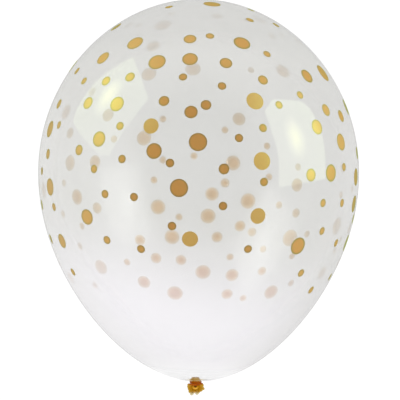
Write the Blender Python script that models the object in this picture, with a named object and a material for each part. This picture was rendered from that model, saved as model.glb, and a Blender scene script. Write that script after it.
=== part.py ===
"""A clear latex party balloon printed with gold dots, blown up, tied and lying on its side.

The whole balloon is one piece of latex: the round skin, the knot in its neck and the short tail
with its rolled lip. Blown up and tied it is sealed, so it is one solid. It lies along +Y with the
crown at +Y and the tail at -Y, on a small flat spot. Lengths are in metres. The printed dots are
only colour, so they aren't modelled.
"""

import math

import bmesh
import bpy
from mathutils import Matrix, Vector

# The skin
BALLOON_WIDTH = 0.300  # widest diameter
SKIN_LENGTH = 0.3575  # from the crown to the round end at the knot
CROWN_LEAN = 0.105  # how far the widest place leans towards the crown
END_SLIMMING = 0.078  # how much both ends are slimmer than an ellipse
FLAT_DEPTH = 0.0025  # how much of the round underside the flat spot takes away

# The knot, half drawn into the end of the skin
KNOT_OFFSET = 0.003  # how far the knot sits to one side of the skin's axis
KNOT_SINK = 0.0008  # how far the middle of the upper turn is drawn into the skin
UPPER_TURN_WIDTH = 0.0106  # across the turn of twisted latex against the skin
UPPER_TURN_THICKNESS = 0.0036
LOWER_TURN_WIDTH = 0.0092  # across the turn that crosses over it, towards the tail
LOWER_TURN_THICKNESS = 0.0031
LOWER_TURN_STEP = 0.0023  # from the middle of the upper turn to that of the lower one
LOWER_TURN_TILT = math.radians(10)

# The tail that sticks out of the knot
TAIL_LENGTH = 0.0066  # along its bent middle line, from the lower turn to the lip
TAIL_BEND = math.radians(52)  # how far it turns up, away from the floor
LIP_WIDTH = 0.0126  # mean diameter of the rolled lip
LIP_BEAD = 0.0017  # thickness of the rolled lip
LATEX_WALL = 0.0006  # of the unstretched tail
TAIL_LOBES = 5
LOBE_DEPTH = 0.15  # share of the lip's radius that its lobes stand in and out
LOBE_DROOP = 0.0013  # how far the lobes reach beyond the lip's mean line
LOBE_TURN = math.radians(18)  # where round the lip the lobes start

# How finely the round forms are cut into flat faces
SKIN_SIDES = 64
SKIN_RINGS = 46
TURN_STEPS = 30
TURN_SIDES = 12
TAIL_SIDES = 45
TAIL_RINGS = 7
TAIL_FLOOR = 3  # the ring at which the hollow in the tail ends
BEAD_STEPS = 6
SHARP_ANGLE = math.radians(40)

CLEAR_LATEX = (0.86, 0.87, 0.88, 1.0)
LATEX_ALPHA = 0.35


def egg_share(turn):
    """Radius of the egg curve at an angle from the crown, before it is scaled to the width."""
    lean = math.cos(turn)
    return math.sin(turn) * (1 + CROWN_LEAN * lean - END_SLIMMING * lean**2)


def skin_profile():
    """(out, along) of the skin's half outline from the crown to the end at the knot."""
    turns = [math.pi * i / SKIN_RINGS for i in range(SKIN_RINGS + 1)]
    scale = BALLOON_WIDTH / 2 / max(egg_share(turn) for turn in turns)
    return [(scale * egg_share(turn), SKIN_LENGTH / 2 * math.cos(turn)) for turn in turns]


def knot_middle():
    """The middle of the upper turn, which is drawn a little into the end of the skin."""
    return Vector((-KNOT_OFFSET, KNOT_SINK - SKIN_LENGTH / 2, 0))


def tail_start():
    """The middle of the lower turn, which the tail comes out of."""
    return knot_middle() - Vector((0, LOWER_TURN_STEP, 0))


def add_object(name, bm):
    """A mesh object from bm, with its normals pointing out."""
    bmesh.ops.recalc_face_normals(bm, faces=bm.faces)
    if bm.calc_volume(signed=True) < 0:
        bmesh.ops.reverse_faces(bm, faces=bm.faces)
    mesh = bpy.data.meshes.new(name)
    bm.to_mesh(mesh)
    bm.free()
    obj = bpy.data.objects.new(name, mesh)
    bpy.context.scene.collection.objects.link(obj)
    return obj


def loft(bm, rings, closed=False):
    """Joins rings of points, all with the same count, and closes the ends or the loop."""
    loops = [[bm.verts.new(point) for point in ring] for ring in rings]
    pairs = list(zip(loops, loops[1:]))
    if closed:
        pairs.append((loops[-1], loops[0]))
    else:
        bm.faces.new(loops[0])
        bm.faces.new(loops[-1])
    for near, far in pairs:
        for i in range(len(near)):
            j = (i + 1) % len(near)
            bm.faces.new((near[i], near[j], far[j], far[i]))


def make_skin():
    """The blown-up skin, turned from its profile and cut flat underneath."""
    bm = bmesh.new()
    verts = [bm.verts.new((out, along, 0)) for out, along in skin_profile()]
    edges = [bm.edges.new(pair) for pair in zip(verts, verts[1:])]
    bmesh.ops.spin(
        bm,
        geom=verts + edges,
        axis=(0, 1, 0),
        cent=(0, 0, 0),
        angle=2 * math.pi,
        steps=SKIN_SIDES,
    )
    bmesh.ops.remove_doubles(bm, verts=bm.verts, dist=1e-6)
    cut = bmesh.ops.bisect_plane(
        bm,
        geom=bm.verts[:] + bm.edges[:] + bm.faces[:],
        plane_co=(0, 0, FLAT_DEPTH - BALLOON_WIDTH / 2),
        plane_no=(0, 0, -1),
        clear_outer=True,
    )
    rim = [item for item in cut["geom_cut"] if isinstance(item, bmesh.types.BMEdge)]
    bmesh.ops.edgeloop_fill(bm, edges=rim)
    return add_object("balloon", bm)


def make_turn(name, width, thickness, middle, tilt):
    """One turn of twisted latex round the neck, with its low side towards the floor."""
    reach = (width - thickness) / 2
    around = [2 * math.pi * i / TURN_STEPS for i in range(TURN_STEPS)]
    across = [2 * math.pi * i / TURN_SIDES for i in range(TURN_SIDES)]
    rings = []
    for turn in around:
        outward = Vector((math.cos(turn), 0, math.sin(turn)))
        rings.append(
            [
                (reach + thickness / 2 * math.cos(angle)) * outward
                + Vector((0, thickness / 2 * math.sin(angle), 0))
                for angle in across
            ]
        )
    bm = bmesh.new()
    loft(bm, rings, closed=True)
    bm.transform(Matrix.Translation(middle) @ Matrix.Rotation(tilt, 4, (1, 0, 1)))
    return add_object(name, bm)


def tail_frame(share):
    """Middle point and direction of the tail at a share of its length, along its bent line."""
    radius = TAIL_LENGTH / TAIL_BEND
    turned = TAIL_BEND * share
    middle = tail_start() + radius * Vector((0, -math.sin(turned), 1 - math.cos(turned)))
    return middle, Vector((0, -math.cos(turned), math.sin(turned)))


def tail_point(angle, share, proud, beyond):
    """A point of the tail's middle surface, moved proud of it and beyond it."""
    middle, direction = tail_frame(share)
    throat = (LOWER_TURN_WIDTH - LOWER_TURN_THICKNESS) / 2
    opening = math.sin(math.pi / 2 * share)
    lobe = share**2 * math.cos(TAIL_LOBES * (angle - LOBE_TURN))
    mean = throat + (LIP_WIDTH / 2 - throat) * opening
    out = mean * (1 + LOBE_DEPTH * lobe) + proud
    across = Vector((1, 0, 0))
    up = direction.cross(across)
    past = beyond + LOBE_DROOP * lobe
    return middle + out * (math.cos(angle) * across + math.sin(angle) * up) + past * direction


def make_tail():
    """The short funnel of unstretched latex below the knot, with its rolled lip."""
    half = LATEX_WALL / 2
    bead = LIP_BEAD / 2
    span = math.pi - math.asin(half / bead)
    outside = [(i / TAIL_RINGS, half, 0.0) for i in range(TAIL_RINGS)]
    lip = []
    for i in range(BEAD_STEPS + 1):
        turn = span - 2 * span * i / BEAD_STEPS
        lip.append((1.0, bead * math.sin(turn), bead * (1 + math.cos(turn))))
    inside = [(share, -half, 0.0) for share, _, _ in reversed(outside[TAIL_FLOOR:])]
    angles = [2 * math.pi * k / TAIL_SIDES for k in range(TAIL_SIDES)]
    rings = [
        [tail_point(angle, share, proud, beyond) for angle in angles]
        for share, proud, beyond in outside + lip + inside
    ]
    throat_top = [point + knot_middle() - tail_start() for point in rings[0]]
    bm = bmesh.new()
    loft(bm, [throat_top, *rings])
    return add_object("tail", bm)


def join(body, helper):
    """Makes helper one with body by a Boolean union, and keeps it as a hidden guide."""
    helper.hide_render = True
    helper.display_type = "WIRE"
    union = body.modifiers.new(helper.name, "BOOLEAN")
    union.operation = "UNION"
    union.object = helper


def make_latex():
    """Clear glossy latex, faintly grey."""
    material = bpy.data.materials.new("clear_latex")
    material.use_nodes = True
    shader = material.node_tree.nodes["Principled BSDF"]
    shader.inputs["Base Color"].default_value = CLEAR_LATEX
    shader.inputs["Alpha"].default_value = LATEX_ALPHA
    shader.inputs["Roughness"].default_value = 0.12
    shader.inputs["Metallic"].default_value = 0.0
    return material


def lay_down(objects):
    """Sets the balloon on its flat spot, with the origin under the middle of its whole length."""
    lowest = min(vert.co.y for obj in objects for vert in obj.data.vertices)
    middle = (SKIN_LENGTH / 2 + lowest) / 2
    for obj in objects:
        obj.data.transform(Matrix.Translation((0, -middle, BALLOON_WIDTH / 2 - FLAT_DEPTH)))


def main():
    for obj in list(bpy.data.objects):
        bpy.data.objects.remove(obj)
    balloon = make_skin()
    helpers = [
        make_turn("upper_turn", UPPER_TURN_WIDTH, UPPER_TURN_THICKNESS, knot_middle(), 0),
        make_turn(
            "lower_turn",
            LOWER_TURN_WIDTH,
            LOWER_TURN_THICKNESS,
            tail_start(),
            LOWER_TURN_TILT,
        ),
        make_tail(),
    ]
    lay_down([balloon, *helpers])
    for helper in helpers:
        join(balloon, helper)
    balloon.data.materials.append(make_latex())
    balloon.data.shade_smooth()
    balloon.data.set_sharp_from_angle(angle=SHARP_ANGLE)


main()
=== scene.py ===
"""A blown-up clear latex party balloon with printed gold dots, lying on its side on a pale floor.

It is laid out as a Blender add-on and run as a script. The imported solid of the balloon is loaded
first. Its box gives the width, the height of the axis and the place of the crown, and the other
sizes are named below. Lengths are in metres: +Z is up, and the balloon's axis runs along +Y from
the tail to the crown.
"""

import math
import random

import bmesh
import bpy
from bpy.props import FloatProperty, FloatVectorProperty, IntProperty, PointerProperty
from mathutils import Matrix, Vector
from mathutils.bvhtree import BVHTree
from mathutils.geometry import intersect_line_plane


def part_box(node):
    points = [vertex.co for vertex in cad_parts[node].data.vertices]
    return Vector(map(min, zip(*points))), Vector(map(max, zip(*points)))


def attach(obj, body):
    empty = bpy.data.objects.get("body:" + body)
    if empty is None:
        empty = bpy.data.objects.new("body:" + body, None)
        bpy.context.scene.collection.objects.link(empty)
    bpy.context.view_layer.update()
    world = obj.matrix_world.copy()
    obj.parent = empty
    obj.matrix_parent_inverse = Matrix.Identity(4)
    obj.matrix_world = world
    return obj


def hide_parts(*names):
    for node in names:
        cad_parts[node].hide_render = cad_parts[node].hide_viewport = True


bl_info = {
    "name": "Confetti print balloon",
    "version": (1, 0, 0),
    "blender": (4, 5, 0),
    "location": "3D View > Sidebar > Balloon",
    "description": "Makes a clear latex balloon with printed gold dots",
    "category": "Add Mesh",
}

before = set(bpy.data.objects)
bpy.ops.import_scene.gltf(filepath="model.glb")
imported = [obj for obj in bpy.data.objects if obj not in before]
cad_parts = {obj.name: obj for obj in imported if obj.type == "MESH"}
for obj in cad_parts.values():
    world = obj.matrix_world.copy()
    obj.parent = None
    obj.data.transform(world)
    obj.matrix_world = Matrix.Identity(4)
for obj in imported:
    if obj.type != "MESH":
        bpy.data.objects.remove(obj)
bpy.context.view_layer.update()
BODY = "root"
NODE = "balloon"
LOW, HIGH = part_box(NODE)

PICTURE_SIZE = 400  # pixels along each side of the picture that the camera looks at

# Where dots lie in it: read off, then some moved or resized by measured differences
FRONT_DOTS = {
    "largest": ((323, 73),),
    "large": (
        (198, 142), (179, 188), (262, 161), (255, 101), (242, 43), (157, 62), (135, 43),
        (50, 129), (50, 187), (298, 246), (331, 173), (341, 142), (212, 4), (356, 177),
        (354, 204), (346, 107), (346, 243),
    ),
    "broad": (
        (190, 59), (151, 126), (99, 139), (154, 151), (317, 127), (190, 239), (258, 216),
        (62, 241), (73, 66), (117, 104), (87, 217), (307, 76), (103, 58),
    ),
    "medium": (
        (88, 103), (191, 112), (226, 63), (326, 110), (341, 116), (311, 175), (190, 39),
        (116, 27), (357, 153),
    ),
    "lesser": (
        (164, 101), (206, 105), (263, 80), (224, 169), (48, 154), (59, 104), (353, 219),
        (106, 81), (130, 77), (79, 150), (42, 205), (51, 239),
    ),
    "small": (
        (183, 77), (222, 86), (210, 36), (267, 54), (279, 105), (300, 95), (239, 138),
        (263, 128), (120, 126), (122, 159), (94, 169), (105, 194), (134, 197), (170, 163),
        (172, 226), (107, 240), (141, 249), (264, 182), (223, 206), (248, 249), (301, 273),
        (311, 290), (323, 203), (342, 203), (322, 231), (336, 243), (344, 167), (250, 20),
        (276, 25), (54, 207), (73, 272), (59, 125), (77, 71), (84, 81), (42, 171), (330, 277),
        (169, 7), (251, 10),
    ),
}
BACK_DOTS = {
    "largest": ((163, 25), (290, 238), (337, 226)),
    "large": (
        (233, 163), (248, 201), (208, 216), (158, 207), (172, 237), (203, 272), (175, 293),
        (101, 267), (144, 138), (193, 69), (70, 163), (77, 197), (271, 292), (66, 112),
        (283, 71), (149, 74),
    ),
    "broad": (
        (212, 194), (232, 275), (144, 282), (239, 119), (297, 185), (322, 273), (108, 115),
        (95, 162), (153, 46),
    ),
    "medium": (
        (140, 240), (156, 258), (181, 260), (240, 226), (217, 237), (227, 294), (97, 208),
        (217, 16), (70, 133),
    ),
    "lesser": ((262, 271), (272, 36), (92, 92), (225, 183), (296, 213), (252, 232), (343, 168)),
    "small": (
        (163, 119), (194, 156), (154, 180), (179, 217), (225, 130), (267, 146), (269, 177),
        (298, 167), (279, 205), (230, 257), (263, 249), (307, 234), (292, 256), (243, 298),
        (291, 283), (127, 262), (95, 285), (251, 70), (64, 183), (63, 214), (80, 246), (82, 226),
        (163, 160), (341, 195), (114, 139),
    ),
}
# Those of them whose ink looks lighter or deeper in front, or paler or only faint behind
LIGHTER_FRONT = ((262, 161), (151, 126), (258, 216), (190, 239), (255, 101))
DEEPER_FRONT = ((298, 246), (242, 43), (331, 173), (307, 76))
PALER_BACK = (
    (101, 267), (193, 69), (149, 74), (297, 185), (97, 208), (70, 133), (296, 213), (252, 232),
    (279, 205), (263, 249), (307, 234), (251, 70), (64, 183), (80, 246), (341, 195), (239, 119),
    (95, 162), (153, 46), (144, 138), (70, 163), (290, 238), (337, 226), (322, 273),
)
# The faint ones lie under the soft boxes' reflection on the near film: their paler ink paints that
# reflection
FAINT_UNDER_REFLECTION = ((108, 115), (298, 167), (114, 139), (92, 92))

# Borders and brightest places of the two bright patches that the skin reflects
LEFT_BOX = (
    (132, 57), (141, 82), (147, 98), (133, 120), (121, 136), (110, 156), (99, 154), (83, 139),
    (72, 122), (77, 109), (96, 81), (115, 66),
)
LEFT_CORE = (107, 96)
RIGHT_BOX = (
    (270, 101), (290, 99), (303, 102), (309, 109), (322, 140), (326, 158), (325, 178),
    (303, 184), (280, 187), (276, 153), (272, 133), (265, 111),
)
RIGHT_CORE = (295, 138)

# The lip's lobes: directions in degrees round its middle and how far it reaches, in millimetres
LIP_REACH = (
    (-116, 8.4), (-98, 5.0), (-77, 8.1), (-45, 5.6), (-21, 6.0), (-1, 7.6), (14, 6.8),
    (35, 8.1), (60, 6.6), (90, 5.2), (120, 6.4), (146, 7.9), (172, 6.8), (197, 6.2),
    (222, 6.9), (244, 8.4),
)

# Where each change of the film or the ink starts and where it is full, in metres
# Milky lower down: thicker latex, and a painted reflection of the pale floor below
MILKY_AND_REFLECTING_FILM = (-0.015, -0.115)  # along the balloon
SHOULDER_FILM = (0.045, 0.135)  # along the balloon
CROWN_FILM = (0.118, 0.150)  # along the balloon
LOW_INK = (-0.03, -0.09)  # along the balloon
LEFT_INK = (-0.080, -0.140)  # across it
SHADED_SIDE = (0.116, 0.148)  # towards the right and the tail at once
CAP_FILM = (0.060, 0.030)  # from the middle of the knot
DENSER_CAP = (0.040, 0.026)  # from the middle of the knot
NECK_FILM = (0.0120, 0.0060)  # from the middle of the knot
CROWN_TIP = (0.012, 0.002)  # from the crown

# The same for the unstretched latex
OLIVE_LIP = (0.0045, 0.0075)  # from the mouth of the tail
# Painted light below the mouth, where light shines through the thin latex
LIT_LATEX = (0.0036, 0.0012)  # from a place just below the mouth
# Painted shade in the mouth's hole
MOUTH_HOLE_SHADE = (0.0016, 0.0008)  # from a place just inside the mouth
# Deeper where the latex is thick, and painted shade in the knot's wrap above the mouth
DEEP_AND_SHADED_LATEX = (-0.0014, 0.0004)  # along the balloon from the mouth
KNOT_TOP = (-0.0008, 0.0008)  # along the balloon from the end of the skin
LIP_TIPS = (0.0042, 0.0012)  # along the balloon from the end of the lip

# How cloudy latex shifts these changes, and how they slope
FILM_SHIFT = 0.012  # metres
AMBER_SHIFT = 0.003  # metres
# Painted light: the milky zone reaches higher on the left, which is lit more
LEFT_LIGHT_SLOPE = 0.16  # metres along the balloon for a metre across it
DEEP_SLOPE = 0.47  # metres along the tail for a metre away from its middle
SHADED_WAY = (0.8, 0.6)  # right and towards the tail, where the skin is shaded
BELOW_MOUTH = (0.0015, 0.0016)  # metres out of the mouth, and then along the balloon
INSIDE_MOUTH = 0.001  # metres back from the mouth

# The same by how far a surface turns away from the view: 0 is straight on and 1 is edge on
FILM_SLANT = (0.10, 0.75)
FILM_RIM = (0.84, 0.98)
INK_SLANT = (0.0, 0.40)
INK_COAT = (0.40, 0.75)
INK_SIDE = (0.66, 0.88)
INK_EDGE = (0.80, 0.95)

# Light of the soft boxes: their middle, the brightest place and as the far film shows it
BOX_LIGHT = (0.90, 1.0, 0.76)
CORE_LIGHT = (0.95, 1.0, 0.50)
INNER_LIGHT = (0.98, 1.0, 0.95)

# Shares and steps by which the shapes are made
PUCKER_REACH = 0.72  # where the dimple's rings start, as a share of its width
PUCKER_CROWDING = 1.5  # how much these rings crowd towards the knot
PUCKER_SHIFT = 1.4  # how early they have moved over to the knot's side
PLEAT_REACH = 1.25  # how far the pleats run out, as a share of the dimple's width
PLEAT_START = 0.003  # metres from the middle of the knot, where the pleats begin
PLEAT_RISE = 0.004  # metres over which they rise to their height
STRAND_START = math.radians(-150)
STRAND_TURN = math.radians(800)  # how far the strand winds round the neck
STRAND_TUCK = 0.10  # the share of it that is tucked in at each end
STRAND_TUCKED = 0.45  # how far out its tucked ends are, as a share
STRAND_SPREAD = (0.80, 0.30)  # how wide it winds at first, and how much wider at last
STRAND_DROP = (0.0001, 0.0030)  # metres down the tail at first, and how much more at last
STRAND_SLANT = (0.0004, 0.8)  # metres by which its turns slant, and which way in radians
STRAND_ASIDE = (-0.0009, 0.0017)  # metres to the side at first, and the change till its end
STRAND_THINNING = 0.12  # how much thinner its last end is
CORE_SHARE = 0.85  # thickness of the core as a share of the room inside the turns
FUNNEL_FLARE = 2.4  # how late along its length the tail flares out
LIP_PLEATS = 13  # pleats round the lip
PLEAT_SHARE = 0.05  # how far they stand out, as a share of the lip's radius
LIP_CURL = 0.0007  # metres by which the lip waves back and forth
PLEAT_CURL = 0.0003  # metres by which its pleats do
DOT_RINGS = (0.14, 0.42)  # the rings of faces in a dot, as shares of its radius
INK_CORNER = 40  # degrees: the ink's edge bends by more than this and stays crisp
NEXT_LAYER = 0.002  # metres past the near film, to look for the far film
DOT_SPREAD = (0.98, 1.02)  # how far the picture's dots differ within one size
SIDE_DOT_SPREAD = (0.95, 1.05)  # how far the dots at the sides do
MOST_TRIES = 6000  # places tried for the dots at the sides
EGG_LIMIT = 1.2  # the egg is nowhere this many times as wide as a sphere
TINY = 1e-5  # metres: places nearer to each other than this are one


# Kinds of sizes
def length(name, description, metres):
    """A length in metres."""
    return FloatProperty(name=name, description=description, default=metres, unit="LENGTH")


def number(name, description, value):
    """A share or a brightness."""
    return FloatProperty(name=name, description=description, default=value)


def count(name, description, value):
    """A whole number."""
    return IntProperty(name=name, description=description, default=value)


def colour(name, description, red, green, blue):
    """A colour."""
    return FloatVectorProperty(
        name=name, description=description, default=(red, green, blue), size=3, subtype="COLOR"
    )


class BalloonSizes(bpy.types.PropertyGroup):
    """Sizes of the latex: the skin, the dimple round the knot, the knot and the tail."""

    width: length("Width", "Widest diameter", HIGH.x - LOW.x)
    skin_length: length("Skin length", "From the crown to the round end at the knot", 0.3575)
    crown_lean: number("Crown lean", "How far the widest place leans towards the crown", 0.105)
    end_slimming: number("End slimming", "How much both ends are slimmer than an ellipse", 0.078)
    skin_sides: count("Skin sides", "Faces round the skin", 192)
    skin_rings: count("Skin rings", "Faces from the crown to the end", 144)
    flat_edge: length("Flat edge", "Width of the soft edge round the flat spot", 0.010)
    knot_offset: length("Knot offset", "How far the knot sits to one side of the axis", 0.003)
    knot_sink: length("Knot sink", "How far the knot is drawn into the end of the skin", 0.0014)
    knot_bite: length("Knot bite", "How far the skin reaches in under the knot", 0.0004)
    pucker_width: length("Pucker width", "Across the dimple that the knot pulls in", 0.024)
    pucker_depth: length("Pucker depth", "Depth of that dimple", 0.0008)
    pucker_steps: count("Pucker steps", "Rings of faces in that dimple", 14)
    pleat_height: length("Pleat height", "Height of the fine pleats round the knot", 0.00035)
    pleats: count("Pleats", "Pleats round the knot", 24)
    knot_width: length("Knot width", "Across the knot's turns", 0.0120)
    strand: length("Strand", "Thickness of the twisted latex in the knot", 0.0034)
    strand_points: count("Strand points", "Places that its curve is led through", 44)
    core_length: length("Core length", "Of the gathered neck inside the knot", 0.0052)
    core_drop: length("Core drop", "From the knot's first turn to the middle of the core", 0.0008)
    tail_length: length("Tail length", "Along its bent middle line, from knot to lip", 0.0063)
    tail_start: length("Tail start", "From the knot's first turn to the start of the tail", 0.0026)
    tail_wall: length("Tail wall", "Thickness of the unstretched tail", 0.0007)
    tail_sides: count("Tail sides", "Faces round the tail", 90)
    tail_rings: count("Tail rings", "Faces along the tail", 14)
    throat: length("Throat", "Radius of the tail where it leaves the knot", 0.0028)
    mouth_share: number("Mouth", "How far along the tail its rolled mouth is", 0.68)
    mouth_radius: length("Mouth radius", "Of the ring of the rolled mouth", 0.0024)
    mouth_bead: length("Mouth bead", "Radius of the rolled latex in that ring", 0.0011)
    tail_bend: FloatProperty(
        name="Tail bend",
        description="How far the tail turns up, away from the floor",
        default=math.radians(52),
        subtype="ANGLE",
    )
    lip_width: length("Lip width", "Diameter of the rolled lip", 0.0126)
    lip_bead: length("Lip bead", "Thickness of the rolled lip", 0.0017)
    melt: length("Melt", "Finest step kept where the knot is made one piece", 0.00018)


class PrintSizes(bpy.types.PropertyGroup):
    """Sizes of the printed dots and where the print ends."""

    largest: length("Largest dots", "Diameter", 0.0175)
    large: length("Large dots", "Diameter", 0.0157)
    broad: length("Broad dots", "Diameter", 0.0137)
    medium: length("Medium dots", "Diameter", 0.0113)
    lesser: length("Lesser dots", "Diameter", 0.0094)
    small: length("Small dots", "Diameter", 0.0074)
    dot_sides: count("Dot sides", "Faces round a dot", 28)
    rim: length("Rim", "How far in the ink is darker at a dot's rim", 0.0021)
    blurred_rim: length("Blurred rim", "How far in it is paler, seen from behind", 0.0044)
    gap: length("Gap", "Least clear film between dots", 0.0035)
    ink: length("Ink", "Thickness of the ink", 0.00007)
    ink_room: length("Ink room", "Room between the film and the outside of the ink", 0.00010)
    floor_room: length("Floor room", "Room between the floor and the film above it", 0.00015)
    front_end: length("Front end", "Where the print ends on the upper side, along +Y", -0.050)
    back_end: length("Back end", "Where the print ends on the lower side, along +Y", -0.098)
    side_large: count("Large side dots", "At the sides", 3)
    side_medium: count("Medium side dots", "At the sides", 6)
    side_small: count("Small side dots", "At the sides", 12)
    side_band: number("Side band", "How far the skin may face down where these dots lie", 0.30)
    side_rise: number("Side rise", "How far it may face up, out of the camera's sight", 0.03)
    seed: count("Seed", "Sets where the side dots lie", 7)


class BalloonColours(bpy.types.PropertyGroup):
    """Colours of the latex and the ink, some with painted light and shade."""

    film: colour("Film", "Stretched clear latex", 0.275, 0.275, 0.238)
    side: colour("Film seen edge on", "Latex that is looked along", 0.85, 0.845, 0.83)
    shoulder: colour("Shoulder film", "Less stretched latex below the crown", 0.50, 0.50, 0.465)
    crown: colour("Crown film", "Less stretched latex at the crown", 0.437, 0.437, 0.407)
    # Thicker latex, and lighter as a painted reflection of the pale floor
    milk_and_reflection: colour("Milky film", "Thicker latex towards the knot", 0.65, 0.62, 0.685)
    cap: colour("Film round the knot", "Clearer, where the skin is rounded off", 0.36, 0.36, 0.37)
    neck: colour("Film at the knot", "Yellowish, where the skin is gathered", 0.80, 0.74, 0.55)
    amber: colour("Amber", "Unstretched latex", 0.44, 0.20, 0.004)
    # Painted light, where light shines through the thin latex below the mouth
    lit_amber: colour("Bright amber", "Latex under the tail's mouth", 0.74, 0.40, 0.05)
    # Also painted shade, in the wrap above the mouth and in the mouth's hole
    deep_amber_and_shade: colour("Deep amber", "Latex where it is thick", 0.31, 0.058, 0.0)
    knot_amber: colour("Knot amber", "Latex at the knot's top", 0.36, 0.19, 0.004)
    olive_amber: colour("Olive amber", "Latex at the lip", 0.44, 0.26, 0.025)
    pale_amber: colour("Pale amber", "Latex at the tips of the lip", 0.55, 0.49, 0.30)
    gold: colour("Gold ink", "Metallic ink", 0.64, 0.128, 0.006)
    gold_left: colour("Gold ink at the left", "A little paler, towards -X", 0.64, 0.155, 0.075)
    # Painted light: brighter where the ink turns from the view, as more light falls on it from the
    # sides
    gold_slant_lit: colour("Gold ink at a slant", "Brighter, as flakes are", 0.70, 0.145, 0.008)
    gold_light: colour("Lighter gold ink", "The ink of the lighter dots", 0.715, 0.26, 0.045)
    gold_deep: colour("Deeper gold ink", "The ink of the deeper dots", 0.66, 0.09, 0.004)
    # Painted shade, where the ink is edge on at the skin's side
    gold_edge_shade: colour("Gold ink edge on", "Duller, at the side of the skin", 0.35, 0.23, 0.13)
    # Darker at each dot's rim where the ink dried thicker; also painted shade where the ink turns
    # edge on
    gold_rim_and_side_shade: colour("Gold ink at the rim", "Where the ink dried thicker", 0.34, 0.046, 0.006)
    ink_back: colour("Ink from behind", "The ink seen through the film", 0.87, 0.64, 0.41)
    ink_back_low: colour("Low ink from behind", "Greyer, through milky film", 0.86, 0.63, 0.47)
    # Paler ink behind: blurred dot rims, and a painted reflection over the faint dots
    pale_ink_back: colour("Its rim from behind", "Paler, where the film blurs it", 0.98, 0.90, 0.78)


class StudioSizes(bpy.types.PropertyGroup):
    """The camera and the lights."""

    camera_distance: length("Camera distance", "From the balloon's axis", 1.5)
    view_width: length("View width", "Width of the picture at the axis", 0.3757)
    camera_x: length("Camera x", "Middle of the picture", 0.0013)
    camera_y: length("Camera y", "Middle of the picture", -0.0020)
    floor_width: length("Floor width", "Of the plain floor", 12.0)
    lamp_height: length("Lamp height", "Of the soft light above", 2.6)
    lamp_width: length("Lamp width", "Of the soft light above", 2.4)
    overhead: FloatProperty(
        name="Overhead light",
        description="Power of the soft light above",
        default=28.0,
        unit="POWER",
    )
    card_distance: length("Card distance", "From the skin to the two soft boxes", 0.42)
    left_card: number("Left card", "Brightness of the left soft box", 1.45)
    right_card: number("Right card", "Brightness of the right soft box", 1.9)
    left_inner: number("Left card inside", "How much brighter the skin's far side has it", 2.1)
    right_inner: number("Right card inside", "How much brighter the skin's far side has it", 1.5)
    core_gain: number("Core", "How much brighter the boxes are at their cores", 2.4)
    core_reach: length("Core reach", "How far a core spreads over its box", 0.09)
    core_narrowing: number("Core narrowing", "Height of a core by its length", 0.75)
    room_light: number("Room light", "Even light of the pale room", 0.95)
    room_top: number("Room above", "Brightness of the room overhead in reflections", 0.15)
    room_side: number("Room at the sides", "Brightness of the room around in reflections", 0.70)
    floor_glow: number("Floor glow", "Light that the pale floor gives of itself", 0.70)


# Helpers for pieces
def deselect():
    """Leaves nothing selected, so that an operator acts only on what is chosen next."""
    bpy.ops.object.select_all(action="DESELECT")


def edit(on=True):
    """Goes to edit mode, or back to object mode."""
    bpy.ops.object.mode_set(mode="EDIT" if on else "OBJECT")


def choose(*pieces):
    """Selects these objects alone, the last of them active."""
    deselect()
    for piece in pieces:
        piece.select_set(True)
    bpy.context.view_layer.objects.active = pieces[-1]


def pick(piece, wanted):
    """In edit mode, selects the vertices that are wanted, and their edges and faces."""
    bm = bmesh.from_edit_mesh(piece.data)
    for vert in bm.verts:
        vert.select_set(False)
    for vert in bm.verts:
        if wanted(vert):
            vert.select_set(True)
    bm.select_flush(True)
    bmesh.update_edit_mesh(piece.data)


def settle():
    """Moves the place, turn and size of the chosen object into its mesh."""
    bpy.ops.object.transform_apply(location=True, rotation=True, scale=True)
    return bpy.context.object


def face_outwards():
    """In edit mode, turns all faces outwards, and goes back to object mode."""
    bpy.ops.mesh.select_all(action="SELECT")
    bpy.ops.mesh.normals_make_consistent(inside=False)
    edit(False)


def apply_modifier(piece, name, kind, **settings):
    """Adds one modifier with its settings and applies it."""
    modifier = piece.modifiers.new(name, kind)
    for key, value in settings.items():
        setattr(modifier, key, value)
    choose(piece)
    bpy.ops.object.modifier_apply(modifier=modifier.name)


def hide_from(piece, *rays):
    """Keeps a piece out of sight of these kinds of rays."""
    for ray in rays:
        setattr(piece, "visible_" + ray, False)


def dress(piece, *materials):
    """Gives a piece its materials."""
    piece.data.materials.clear()
    for material in materials:
        piece.data.materials.append(material)


def finish_piece(piece, name, sharp=180):
    """Names a piece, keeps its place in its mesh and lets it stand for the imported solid.

    Edges bent by more than sharp, in degrees, stay crisp.
    """
    piece.name = name
    piece.data.name = name
    choose(piece)
    settle()
    bpy.ops.object.shade_smooth_by_angle(angle=math.radians(sharp))
    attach(piece, BODY)
    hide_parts(NODE)


def smooth_step(share):
    """0 below 0, 1 above 1, and an even rise between them."""
    share = min(max(share, 0.0), 1.0)
    return share * share * (3 - 2 * share)


# Places on the balloon
def axis_height(sizes):
    """Height of the balloon's axis above the floor."""
    return HIGH.z - sizes.width / 2


def skin_end(sizes):
    """Where along +Y the skin ends at the knot."""
    return HIGH.y - sizes.skin_length


def knot_middle(sizes):
    """Middle of the knot's first turn."""
    return Vector((-sizes.knot_offset, skin_end(sizes) + sizes.knot_sink, axis_height(sizes)))


def tail_place(sizes, share):
    """A place on the tail's bent middle line, and which way the line runs there."""
    turned = sizes.tail_bend * share
    curve = sizes.tail_length / sizes.tail_bend
    start = knot_middle(sizes) - Vector((0, sizes.tail_start, 0))
    place = start + Vector((0, -math.sin(turned), 1 - math.cos(turned))) * curve
    return place, Vector((0, -math.cos(turned), math.sin(turned)))


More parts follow.
